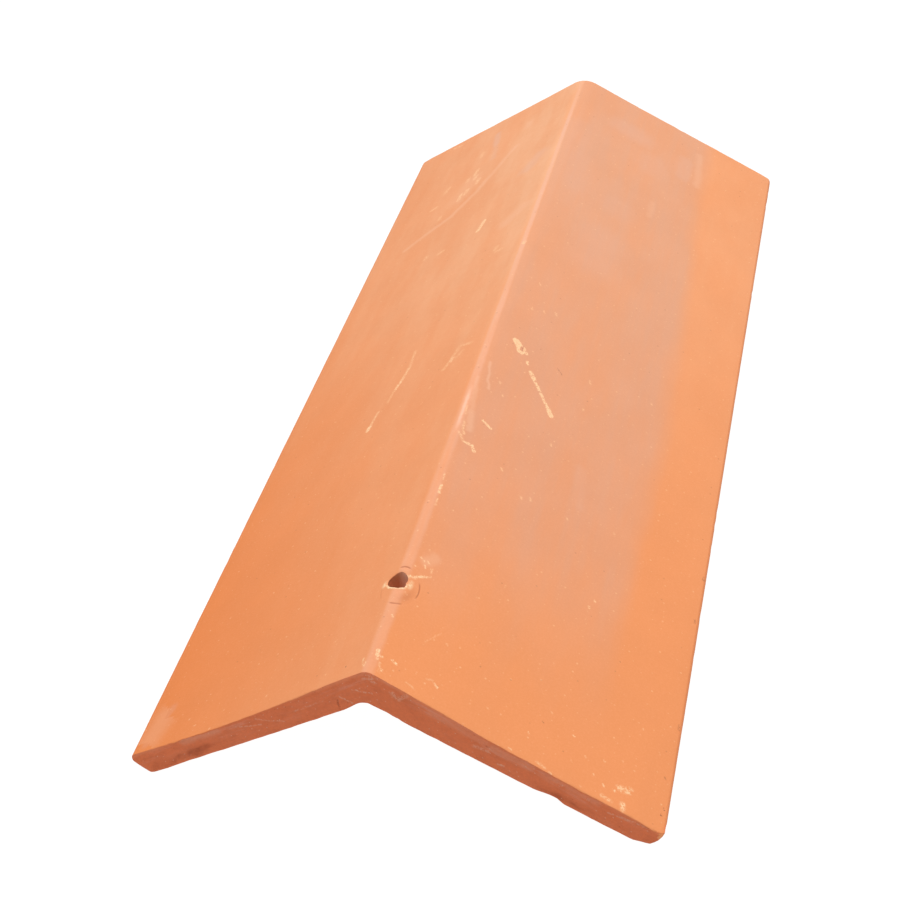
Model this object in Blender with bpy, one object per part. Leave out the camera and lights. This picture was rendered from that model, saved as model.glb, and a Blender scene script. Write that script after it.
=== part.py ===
"""Plain angular ridge tile of unglazed red clay.

One fired piece: two flat wings that meet at a rounded crest, cut by hand at both ends,
with a nail hole through the crest near one end. Metres, +Z up. The tile stands on its two
long bed arrises at Z = 0, its box is centred on the origin, the crest runs along Y, and the
end with the nail hole is at -Y.
"""

from math import ceil, cos, pi, radians, sin, tan

import bmesh
import bpy
from mathutils import Euler, Vector

# Section across the crest
WING_WIDTH = 0.1202              # down the slope, from the crest line to the outer edge
OUTER_PITCH = radians(30.7)      # slope of the outer faces
CREST_THICKNESS = 0.0151         # upright, from the crest line to the top of the hollow
HOLLOW_OFFSET = -0.0018          # top of the hollow, beside the crest line
EDGE_HEIGHT = 0.0060             # height of the sloping face along each outer edge
EDGE_UNDERCUT = 0.0090           # how far that face runs in under the wing

# Roundings of the section
CREST_RADIUS = 0.0050
HOLLOW_RADIUS = 0.0030
EDGE_RADIUS = 0.0020
BED_RADIUS = 0.0010
ARC_STEP = radians(14.0)         # largest turn between two points of a rounding

# Length and the two cut ends
CREST_LENGTH = 0.450
NEAR_SKEW = radians(1.3)         # turn of the near cut in plan, from square
NEAR_LEAN = radians(2.8)         # lean of the near cut, its foot standing out
FAR_SKEW = radians(2.7)
FAR_LEAN = radians(2.2)
CUT_MARGIN = 0.010               # clay beyond the cuts before they are made

# Nail hole
NAIL_HOLE_RADIUS = 0.00375
NAIL_HOLE_FROM_END = 0.0465      # along the crest, from the near cut
NAIL_HOLE_OFFSET = -0.0007       # beside the crest line
NAIL_HOLE_SIDES = 32
NAIL_CUT_OVERRUN = 0.010

CLAY_COLOUR = (0.74, 0.31, 0.15, 1.0)
CLAY_ROUGHNESS = 0.86
SHARP_ANGLE = radians(28.0)
WELD_DISTANCE = 1e-6


def clear_scene():
    for item in list(bpy.data.objects):
        bpy.data.objects.remove(item, do_unlink=True)


def new_collection(name):
    collection = bpy.data.collections.new(name)
    bpy.context.scene.collection.children.link(collection)
    return collection


def clay_material():
    material = bpy.data.materials.new("fired_clay")
    material.use_nodes = True
    shader = material.node_tree.nodes["Principled BSDF"]
    shader.inputs["Base Color"].default_value = CLAY_COLOUR
    shader.inputs["Roughness"].default_value = CLAY_ROUGHNESS
    shader.inputs["Metallic"].default_value = 0.0
    return material


def section_corners():
    """Sharp corners of the section and the rounding of each, clockwise from the crest."""
    edge_x = WING_WIDTH * cos(OUTER_PITCH)
    crest_z = WING_WIDTH * sin(OUTER_PITCH) + EDGE_HEIGHT
    bed_x = edge_x - EDGE_UNDERCUT
    return [
        (Vector((0.0, crest_z)), CREST_RADIUS),
        (Vector((edge_x, EDGE_HEIGHT)), EDGE_RADIUS),
        (Vector((bed_x, 0.0)), BED_RADIUS),
        (Vector((HOLLOW_OFFSET, crest_z - CREST_THICKNESS)), HOLLOW_RADIUS),
        (Vector((-bed_x, 0.0)), BED_RADIUS),
        (Vector((-edge_x, EDGE_HEIGHT)), EDGE_RADIUS),
    ]


def rounded_corner(before, corner, after, radius):
    """Points of the arc that touches both sides of a corner, in the order of the outline."""
    to_before = (before - corner).normalized()
    to_after = (after - corner).normalized()
    half_angle = to_before.angle(to_after) / 2
    centre = corner + (to_before + to_after).normalized() * radius / sin(half_angle)
    start = corner + to_before * radius / tan(half_angle) - centre
    turn = pi - 2 * half_angle
    if to_before.x * to_after.y - to_before.y * to_after.x > 0:
        turn = -turn
    steps = max(2, ceil(abs(turn) / ARC_STEP))
    points = []
    for step in range(steps + 1):
        angle = turn * step / steps
        points.append(centre + Vector((
            start.x * cos(angle) - start.y * sin(angle),
            start.x * sin(angle) + start.y * cos(angle),
        )))
    return points


def section_outline():
    """Rounded outline of the section, standing on Z = 0, and the height of its crest line."""
    corners = section_corners()
    outline = []
    for index, (corner, radius) in enumerate(corners):
        before = corners[index - 1][0]
        after = corners[(index + 1) % len(corners)][0]
        outline += rounded_corner(before, corner, after, radius)
    bed_z = min(point.y for point in outline)
    crest_z = corners[0][0].y - bed_z
    return [Vector((point.x, point.y - bed_z)) for point in outline], crest_z


def end_cuts(outline, crest_z):
    """Turn and crest point of each cut, placed so that the tile's box is centred along Y."""
    near_turn = Euler((-NEAR_LEAN, 0.0, -NEAR_SKEW))
    far_turn = Euler((FAR_LEAN, 0.0, -FAR_SKEW))
    reach = []
    for turn, side in ((near_turn, -1), (far_turn, 1)):
        normal = turn.to_matrix() @ Vector((0.0, side, 0.0))
        along = [-(normal.x * p.x + normal.z * (p.y - crest_z)) / normal.y for p in outline]
        reach.append(side * max(side * y for y in along))
    middle = (reach[0] + reach[1]) / 2
    near_point = Vector((0.0, -CREST_LENGTH / 2 - middle, crest_z))
    far_point = Vector((0.0, CREST_LENGTH / 2 - middle, crest_z))
    return (near_turn, near_point, reach[0]), (far_turn, far_point, reach[1])


def extruded_section(name, outline, near_y, far_y):
    """Solid bar of the section from near_y to far_y, made as a filled flat curve."""
    curve = bpy.data.curves.new(name + "_outline", "CURVE")
    curve.dimensions = "2D"
    curve.fill_mode = "BOTH"
    curve.extrude = (far_y - near_y) / 2
    spline = curve.splines.new("POLY")
    spline.points.add(len(outline) - 1)
    for target, point in zip(spline.points, outline):
        target.co = (point.x, point.y, 0.0, 1.0)
    spline.use_cyclic_u = True
    bar = bpy.data.objects.new(name + "_outline", curve)
    bar.rotation_euler = (pi / 2, 0.0, 0.0)
    bar.location = (0.0, (near_y + far_y) / 2, 0.0)
    bpy.context.scene.collection.objects.link(bar)
    bpy.context.view_layer.update()

    evaluated = bar.evaluated_get(bpy.context.evaluated_depsgraph_get())
    mesh = bpy.data.meshes.new_from_object(evaluated)
    mesh.name = name
    mesh.transform(bar.matrix_world)
    bpy.data.objects.remove(bar, do_unlink=True)
    shape = bmesh.new()
    shape.from_mesh(mesh)
    bmesh.ops.remove_doubles(shape, verts=shape.verts, dist=WELD_DISTANCE)
    bmesh.ops.recalc_face_normals(shape, faces=shape.faces)
    shape.to_mesh(mesh)
    shape.free()
    mesh.shade_smooth()
    mesh.set_sharp_from_angle(angle=SHARP_ANGLE)
    return bpy.data.objects.new(name, mesh)


def as_cutter(cutter, name, cutters):
    for holder in list(cutter.users_collection):
        holder.objects.unlink(cutter)
    cutters.objects.link(cutter)
    cutter.name = name
    cutter.hide_render = True
    cutter.display_type = "WIRE"
    return cutter


def end_cutter(name, cut, side, width, height, cutters):
    """Block whose inner face is the plane of one cut."""
    turn, point, _ = cut
    bpy.ops.mesh.primitive_cube_add(size=1.0)
    block = bpy.context.object
    depth = 4 * CUT_MARGIN + height
    for vertex in block.data.vertices:
        vertex.co.x *= 2 * width
        vertex.co.y = (vertex.co.y + side / 2) * depth
        vertex.co.z *= 4 * height
    block.rotation_euler = turn
    block.location = point
    return as_cutter(block, name, cutters)


def nail_hole_cutter(near_point, crest_z, cutters):
    bpy.ops.mesh.primitive_cylinder_add(
        vertices=NAIL_HOLE_SIDES,
        radius=NAIL_HOLE_RADIUS,
        depth=CREST_THICKNESS + 2 * NAIL_CUT_OVERRUN,
        location=(
            NAIL_HOLE_OFFSET,
            near_point.y + NAIL_HOLE_FROM_END,
            crest_z - CREST_THICKNESS / 2,
        ),
    )
    return as_cutter(bpy.context.object, "nail_hole_cutter", cutters)


def cut(piece, cutter):
    modifier = piece.modifiers.new(cutter.name, "BOOLEAN")
    modifier.operation = "DIFFERENCE"
    modifier.solver = "EXACT"
    modifier.object = cutter


def build_ridge_tile():
    tile_parts = new_collection("ridge_tile_parts")
    cutters = new_collection("cutters")
    outline, crest_z = section_outline()
    near_cut, far_cut = end_cuts(outline, crest_z)
    near_y = near_cut[1].y + near_cut[2] - CUT_MARGIN
    far_y = far_cut[1].y + far_cut[2] + CUT_MARGIN

    tile = extruded_section("ridge_tile", outline, near_y, far_y)
    tile_parts.objects.link(tile)
    tile.data.materials.append(clay_material())

    width = max(point.x for point in outline) - min(point.x for point in outline)
    cut(tile, end_cutter("near_end_cutter", near_cut, -1, width, crest_z, cutters))
    cut(tile, end_cutter("far_end_cutter", far_cut, 1, width, crest_z, cutters))
    cut(tile, nail_hole_cutter(near_cut[1], crest_z, cutters))
    return tile


clear_scene()
build_ridge_tile()
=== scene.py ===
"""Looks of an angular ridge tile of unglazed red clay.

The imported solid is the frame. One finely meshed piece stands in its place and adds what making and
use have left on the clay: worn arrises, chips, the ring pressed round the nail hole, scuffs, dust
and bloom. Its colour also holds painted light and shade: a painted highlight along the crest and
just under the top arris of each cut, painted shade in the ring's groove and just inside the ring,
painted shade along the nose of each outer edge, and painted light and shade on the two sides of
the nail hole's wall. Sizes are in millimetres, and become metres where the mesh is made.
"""

from math import atan2, cos, pi, radians, sin, tan

import bpy
import numpy as np
from mathutils import Matrix, Vector


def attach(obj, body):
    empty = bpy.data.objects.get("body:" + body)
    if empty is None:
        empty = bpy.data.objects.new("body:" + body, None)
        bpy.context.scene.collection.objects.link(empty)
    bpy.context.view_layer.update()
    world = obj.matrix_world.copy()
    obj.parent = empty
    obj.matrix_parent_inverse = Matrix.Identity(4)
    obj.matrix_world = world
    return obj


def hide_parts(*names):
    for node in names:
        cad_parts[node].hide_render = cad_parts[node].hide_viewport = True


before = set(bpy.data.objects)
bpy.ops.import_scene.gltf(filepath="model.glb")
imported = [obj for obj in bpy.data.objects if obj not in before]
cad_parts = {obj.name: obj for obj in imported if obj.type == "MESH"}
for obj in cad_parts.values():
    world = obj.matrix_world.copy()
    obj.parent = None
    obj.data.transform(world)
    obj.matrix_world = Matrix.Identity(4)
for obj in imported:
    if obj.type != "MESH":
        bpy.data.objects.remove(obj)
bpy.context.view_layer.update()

MM = 0.001

# Section of the tile
PITCH = radians(30.7)            # slope of the outer faces
WING_WIDTH = 120.2               # down the slope, from the crest line to the outer edge
CREST_THICKNESS = 15.1           # upright, from the crest line to the top of the hollow
HOLLOW_OFFSET = -1.8             # the hollow's two faces meet this far beside the crest line
EDGE_HEIGHT = 6.0
EDGE_UNDERCUT = 9.0
CREST_RADIUS_NEAR = 4.6
CREST_RADIUS_FAR = 12.0
EDGE_RADIUS = 2.0
NOSE_STEPS = 7                   # points round the nose of an outer edge
BED_RADIUS = 1.0
FOOT_STEPS = 4
FACE_END = 96.0                  # the outer faces reach this far across before the edge turns
HOLLOW_END = 93.2                # the same for the hollow
CREST_Z = WING_WIDTH * sin(PITCH) + EDGE_HEIGHT
EDGE_X = WING_WIDTH * cos(PITCH)
BED_X = EDGE_X - EDGE_UNDERCUT
HOLLOW_Z = CREST_Z - CREST_THICKNESS
HOLLOW_FLAT = HOLLOW_Z - 0.2     # the top of the hollow is blunt, and stops here
HOLLOW_SOFTNESS = 0.5
HOLLOW_SHOULDER = 0.9            # extra height of the hollow left of its top
SHOULDER_X = -4.5
SHOULDER_REACH = 6.0

# Length and the two cut ends
LENGTH = 450.0
NEAR_CREST_Y = -225.93
FAR_CREST_Y = 224.07
NEAR_SKEW = tan(radians(1.3))    # run of the near cut along the tile, for each millimetre across
NEAR_LEAN = 0.0489               # and for each millimetre up
FAR_SKEW = tan(radians(2.7))
FAR_LEAN = 0.0385
PLAN_REACH = 101.59              # half the width, where the rounding of the corners ends
CORNER_ROUNDING = {              # plan radius of the four corners: end and side
    ("near", -1): 0.4,
    ("near", 1): 1.6,
    ("far", -1): 3.9,
    ("far", 1): 3.2,
}
CORNER_FADE = 18.0               # the rounding dies out this far along the tile
CUT_FADE = 2.0                   # and the roughness of a cut this far
CAP_BLEND = 22.0                 # the fill of an end follows its edges within this
NOSE_WORN = (98.4, 100.2)        # the nose of the right edge is worn smooth beyond these
SHARP_ANGLE = radians(50)

# The outer faces sink a little towards the near cut: place across, depth
NEAR_DIP = (
    (-104.0, 0.0), (-101.0, 0.05), (-98.0, 0.2), (-90.0, 0.5), (-84.0, 0.85), (-66.0, 1.45),
    (-50.0, 1.35), (-40.0, 1.2), (-34.0, 1.0), (-22.0, 0.45), (-15.0, 0.1), (-9.0, 0.0), (9.0, 0.0),
    (14.0, 0.1), (23.0, 0.35), (30.0, 0.55), (38.0, 0.95), (44.0, 1.1), (66.0, 1.05), (72.0, 1.0),
    (78.0, 0.7), (92.0, 0.4), (97.0, 0.95), (104.0, 0.3),
)
# The hollow is fuller there: place across, height added
NEAR_FULLNESS = (
    (-93.5, 0.1), (-87.0, 0.75), (-76.0, 0.7), (-36.0, 0.7), (-28.0, 0.55), (-11.0, 0.4),
    (-2.0, 0.25), (5.0, -0.1), (11.0, 0.45), (18.0, 0.7), (32.0, 0.5), (58.0, 0.5), (66.0, 0.3),
    (84.0, 0.3), (93.5, 0.05),
)
NEAR_FADE = 60.0                 # both die out this far along the tile

# Nail hole: its bore is round, and its rim is worn wider. Direction in degrees, reach of the rim
HOLE_X = -0.7
HOLE_S = 46.5                    # along the crest from the near cut
HOLE_RADIUS = 3.75
HOLE_RIM = (
    (-214.0, 4.7), (-193.0, 4.75), (-166.0, 4.4), (-146.0, 4.1), (-99.0, 3.95), (-48.0, 4.3),
    (-10.0, 3.1), (34.0, 3.85), (67.0, 4.2), (95.0, 4.6), (121.0, 4.5), (146.0, 4.7), (167.0, 4.75),
    (194.0, 4.4),
)
HOLE_BLEND = 10.0                # the mesh turns from square to round within this
HOLE_LEVELS = 11

# Ring pressed round the nail hole
RING_X = 0.2
RING_S = 44.0
RING_HALF_WIDTH = 6.9
RING_HALF_LENGTH = 9.6
RING_GROOVE = 0.25
RING_LINE = (0.010, 0.058)       # its painted shade fades between these, as shares of its size
RING_TRACE = 0.07                # how much of it shows outside its arcs
RING_ARCS = (                    # direction of the middle, half the turn, and strength
    (1.58, 0.28, 1.0),
    (0.10, 0.40, 1.0),
    (-1.44, 0.32, 0.9),
    (-2.85, 0.35, 0.25),
)

# Loose crumbs at the corners of the rim: x, s, and how much they are drawn out along the tile
CRUMB_HEAPS = (
    (-6.2, 45.8, 0.45), (3.9, 45.9, 0.40),
)
CRUMB_REACH = 1.25
CRUMB_HEIGHT = 0.22

# Worn arrises: plain radius, wear and seed
NEAR_UPPER_ARRIS = (0.25, 0.35, 60)
NEAR_LOWER_ARRIS = (0.10, 0.10, 62)
FAR_UPPER_ARRIS = (0.50, 0.25, 64)
FAR_LOWER_ARRIS = (0.20, 0.20, 66)

# Chips along the lower arris of the near end: start, deepest place and end across, depth
LOWER_CHIPS = (
    (55.0, 62.6, 66.6, 1.3),
)
# The right near foot is broken off: place across, height of the break above the bed
WORN_FOOT = (
    (89.6, 1.75), (93.2, 1.7), (95.4, 1.15), (97.4, 1.15), (98.8, 2.9), (100.2, 4.9), (101.6, 7.0),
)
WORN_FOOT_LENGTH = 12.0
# Dirt along the lower arris of the near cut: place across, share
CUT_DIRT_SHARE = (
    (-95.0, 0.0), (-91.0, 0.5), (-84.5, 0.4), (-81.0, 0.75), (-77.0, 0.55), (-74.5, 0.5),
    (-71.0, 1.0), (-68.5, 0.9), (-66.0, 0.3), (-60.0, 0.15), (-54.0, 0.0), (54.0, 0.0), (62.0, 0.4),
    (74.0, 0.35), (82.0, 0.0),
)
# The left near foot stands out a little from the plane of its cut
LEFT_FOOT_REACH = 0.8
LEFT_FOOT_HEIGHT = 8.0
LEFT_FOOT_PLACE = (76.0, 93.0)   # grows between these, left of the crest


def ramp(value, start, end):
    """Smooth rise from 0 at start to 1 at end."""
    share = np.clip((value - start) / (end - start), 0.0, 1.0)
    return share * share * (3.0 - 2.0 * share)


def hump(value, centre, half_width):
    """1 at the centre, falling smoothly to 0 at half_width on either side."""
    return 1.0 - ramp(np.abs(value - centre), 0.0, half_width)


def follow(table, value):
    """Value read from a table of places and values, in a straight line between places."""
    places, values = zip(*table)
    return np.interp(value, places, values)


def lumps(x, y, size_x, size_y, seed):
    """Smooth random field between -1 and 1, with lumps of the given sizes."""
    count = 128
    lattice = np.random.default_rng(seed).uniform(-1.0, 1.0, (count, count))
    u = np.asarray(x, dtype=float) / size_x
    v = np.asarray(y, dtype=float) / size_y
    column = np.floor(u).astype(int)
    row = np.floor(v).astype(int)
    u = ramp(u - column, 0.0, 1.0)
    v = ramp(v - row, 0.0, 1.0)

    def knot(i, j):
        return lattice[(column + i) % count, (row + j) % count]

    low = knot(0, 0) * (1 - u) + knot(1, 0) * u
    high = knot(0, 1) * (1 - u) + knot(1, 1) * u
    return low * (1 - v) + high * v


def graded(stops):
    """Positions that pass through every stop (place, spacing there), evenly graded between."""
    places = [stops[0][0]]
    for (start, first_gap), (end, last_gap) in zip(stops, stops[1:]):
        steps = max(1, round(2 * (end - start) / (first_gap + last_gap)))
        gaps = np.linspace(first_gap, last_gap, steps)
        places.extend(start + np.cumsum(gaps) * (end - start) / gaps.sum())
    return np.array(places)


COLUMNS = graded([
    (-FACE_END, 1.5), (-14.0, 1.4), (-8.5, 0.45),
    (HOLE_X - HOLE_RADIUS, 0.45), (HOLE_X + HOLE_RADIUS, 0.45),
    (9.5, 0.45), (14.0, 1.2), (FACE_END, 1.5),
])
ROWS = graded([
    (0.0, 0.10), (0.8, 0.2), (3.0, 0.8), (12.0, 1.5), (30.0, 1.2), (34.0, 0.45),
    (HOLE_S - HOLE_RADIUS, 0.45), (HOLE_S + HOLE_RADIUS, 0.45), (55.0, 0.5), (75.0, 2.6),
    (430.0, 3.4), (446.0, 0.9), (448.8, 0.35), (LENGTH, 0.12),
])


# Section

def direction(angle):
    return np.array([cos(angle), sin(angle)])


def rounded_corner(corner, first_angle, last_angle, radius, steps):
    """Arc between two faces that meet at a corner, given the directions that they face."""
    first, last = direction(first_angle), direction(last_angle)
    centre = corner - radius * (first + last) / (1 + first @ last)
    angles = np.linspace(first_angle, last_angle, steps + 1)
    return [centre + radius * direction(angle) for angle in angles]


def outer_height(x, s):
    """Outer faces and crest. The crest is rounder towards the far end."""
    radius = CREST_RADIUS_NEAR + (CREST_RADIUS_FAR - CREST_RADIUS_NEAR) * s / LENGTH
    slope = CREST_Z - np.abs(x) * tan(PITCH)
    arc = CREST_Z - radius / cos(PITCH) + np.sqrt(np.maximum(radius**2 - x**2, 0.0))
    return np.where(np.abs(x) < radius * sin(PITCH), arc, slope)


def hollow_fall(side):
    """Slope of one face of the hollow."""
    return HOLLOW_Z / (BED_X - side * HOLLOW_OFFSET)


def hollow_height(x):
    """Faces of the hollow. They meet in a blunt top that is wider on the left."""
    across = x - HOLLOW_OFFSET
    fall = np.where(across < 0, hollow_fall(-1), hollow_fall(1))
    faces = HOLLOW_Z - fall * np.abs(across) + HOLLOW_SHOULDER * hump(x, SHOULDER_X, SHOULDER_REACH)
    gap = faces - HOLLOW_FLAT
    return HOLLOW_FLAT + (gap - np.sqrt(gap**2 + HOLLOW_SOFTNESS**2)) / 2


def edge_profile(side):
    """Points from the end of an outer face round the edge and the foot into the hollow."""
    undercut = atan2(EDGE_HEIGHT, EDGE_UNDERCUT)
    outward = pi / 2 - PITCH
    below = undercut - pi / 2
    inward = -pi / 2 - atan2(hollow_fall(side), 1.0)
    nose = rounded_corner(np.array([EDGE_X, EDGE_HEIGHT]), outward, below, EDGE_RADIUS, NOSE_STEPS)
    foot = rounded_corner(np.array([BED_X, 0.0]), below, inward, BED_RADIUS, FOOT_STEPS)
    between = [nose[-1] + (foot[0] - nose[-1]) * share for share in (0.25, 0.5, 0.75)]
    start = np.array([FACE_END, CREST_Z - FACE_END * tan(PITCH)])
    end = np.array([HOLLOW_END, float(hollow_height(np.array(side * HOLLOW_END)))])
    points = np.array([start, *nose, *between, *foot, end])
    points[:, 0] *= side
    return points


FOOT_DROP = min(edge_profile(side)[:, 1].min() for side in (-1, 1))


# Relief on the section, as a depth below the plain form

def hole_gap(x, s):
    """Distance outside the worn rim of the nail hole, and the direction from its centre."""
    turn = np.degrees(np.arctan2(s - HOLE_S, x - HOLE_X))
    return np.hypot(x - HOLE_X, s - HOLE_S) - follow(HOLE_RIM, turn), turn


def squares_to_circles(x, s, worn):
    """Moves grid points round the nail hole, so that the square of cells there fits its outline."""
    dx, ds = x - HOLE_X, s - HOLE_S
    square = np.maximum(np.abs(dx), np.abs(ds))
    circle = np.maximum(np.hypot(dx, ds), 1e-6)
    turn = np.degrees(np.arctan2(ds, dx))
    outline = follow(HOLE_RIM, turn) / HOLE_RADIUS if worn else 1.0
    share = 1 - ramp(square, HOLE_RADIUS, HOLE_BLEND)
    scale = 1 + share * (outline * square / circle - 1)
    return HOLE_X + dx * scale, HOLE_S + ds * scale


def ring_reach(x, s):
    """Place against the pressed ring, 1 on its line, and the direction from its centre."""
    along = (x - RING_X) / RING_HALF_WIDTH
    out = (s - RING_S) / RING_HALF_LENGTH
    return np.hypot(along, out), np.arctan2(out, along)


def ring_presence(turn):
    """How strongly the ring is pressed in each direction from its centre."""
    present = np.full_like(turn, RING_TRACE)
    for middle, half, strength in RING_ARCS:
        arc = 1 - ramp(np.abs(turn - middle), 0.7 * half, 1.2 * half)
        present = np.maximum(present, strength * arc)
    return present * (0.85 + 0.15 * lumps(turn + 4, 0 * turn, 0.2, 1.0, 12))


def crumbs(x, s):
    """Share of the loose crumbs that stand along the near side of the rim and at its corners."""
    gap, turn = hole_gap(x, s)
    share = 1.3 * hump(gap, 0.30, 0.75) * (1 - ramp(np.abs(turn + 90), 62, 80))
    for heap_x, heap_s, drawn_out in CRUMB_HEAPS:
        distance = np.hypot(x - heap_x, (s - heap_s) * drawn_out)
        share = np.maximum(share, hump(distance, 0.0, CRUMB_REACH))
    ragged = 0.72 + 0.5 * lumps(x, s, 0.8, 0.8, 14)
    return np.clip(share * ragged, 0.0, 1.0)


def ring_relief(x, s):
    """Shallow groove of the pressed ring, and the clay disturbed round the nail hole."""
    reach, turn = ring_reach(x, s)
    gap, _ = hole_gap(x, s)
    groove = RING_GROOVE * np.exp(-(((reach - 1) / 0.05) ** 2)) * ring_presence(turn)
    inside = 0.08 * (1 - ramp(reach, 0.8, 1.0)) * (1 + lumps(x, s, 1.7, 1.7, 13))
    rim = 0.25 * (1 - ramp(gap, 0.0, 0.6))
    return groove + inside + rim - CRUMB_HEIGHT * crumbs(x, s)


def near_dip(x, s):
    return follow(NEAR_DIP, x) * (1 - ramp(s, 0.0, NEAR_FADE))


def outer_relief(x, s):
    waves = 0.06 * (1 + lumps(x, s, 34, 75, 1)) + 0.008 * (1 + lumps(x, s, 9, 21, 2))
    return near_dip(x, s) + waves + ring_relief(x, s)


def chip_profile(x, start, deepest, end):
    """0 outside a chip and 1 at its deepest place."""
    return ramp(x, start, deepest) * (1 - ramp(x, deepest, end))


def hollow_relief(x, s):
    full = follow(NEAR_FULLNESS, x) * (1 - ramp(s, 0.0, NEAR_FADE))
    waves = 0.08 * lumps(x, s, 30, 80, 4)
    drag_lines = 0.05 * lumps(x, s, 3.1, 240, 5) + 0.03 * lumps(x, s, 2.7, 9, 6)
    ragged = x + 0.5 * lumps(s, x, 2, 2, 7)
    chips = sum(
        depth * chip_profile(ragged, start, deepest, end) * (1 - ramp(s, 0, 4 + 2 * depth))
        for start, deepest, end, depth in LOWER_CHIPS
    )
    gap = np.hypot(x - HOLE_X, s - HOLE_S) - HOLE_RADIUS
    burst = 0.8 * (1 - ramp(gap, 0.0, 1.6 + 0.8 * lumps(x, s, 2.0, 2.0, 8)))
    return waves + drag_lines + chips + burst - full


def arris_depth(from_end, radius):
    """Depth of the rounding at an end, at a distance from it."""
    left = np.clip(radius - from_end, 0.0, radius)
    return radius - np.sqrt(np.maximum(radius**2 - left**2, 0.0))


def arris_radius(x, plain, wear, seed):
    """Radius of a worn arris, with a few deeper nicks. It is sharper at the crest and the edges."""
    rubbed = 0.5 + 0.5 * lumps(x, 0 * x, 7.0, 1.0, seed)
    nicks = ramp(lumps(x, 0 * x, 2.3, 1.0, seed + 1), 0.45, 0.95)
    along_wing = (0.2 + 0.8 * ramp(np.abs(x), 6, 24)) * (1 - 0.7 * ramp(np.abs(x), 95, 100))
    return along_wing * (plain + wear * (rubbed + 0.8 * nicks))


def plan_rounding(x, end):
    """How far a corner of the tile is rounded back along its length."""
    back = np.zeros_like(x)
    for side in (-1, 1):
        radius = CORNER_ROUNDING[(end, side)]
        over = np.clip(side * x - (PLAN_REACH - radius), 0.0, radius)
        back += radius - np.sqrt(radius**2 - over**2)
    return back


def cut_roughness(x, z, seed):
    """Unevenness of a wire-cut end, as a depth into the tile."""
    drag = lumps(x + 0.4 * z, z, 9.0, 1.6, seed)
    grains = lumps(x, z, 1.9, 1.9, seed + 1)
    pits = ramp(lumps(x, z, 3.1, 2.4, seed + 2), 0.66, 0.95)
    return 0.08 * drag + 0.05 * grains + 0.35 * pits


# Mesh

def place_along(x, z, s):
    """Y of a point of the section, s along the crest from the near cut to the far one."""
    near = NEAR_CREST_Y - NEAR_SKEW * x + NEAR_LEAN * (z - CREST_Z)
    foot = ramp(-x, *LEFT_FOOT_PLACE) * (1 - ramp(z - FOOT_DROP, 0.0, LEFT_FOOT_HEIGHT))
    near = near - LEFT_FOOT_REACH * foot
    far = FAR_CREST_Y - FAR_SKEW * x - FAR_LEAN * (z - CREST_Z)
    y = near + (far - near) * s / LENGTH
    for end, toward, from_end, seed in (("near", 1, s, 41), ("far", -1, LENGTH - s, 51)):
        y = y + toward * plan_rounding(x, end) * (1 - ramp(from_end, 0.0, CORNER_FADE))
        y = y + toward * cut_roughness(x, z, seed) * (1 - ramp(from_end, 0.0, CUT_FADE))
    return y


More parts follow.
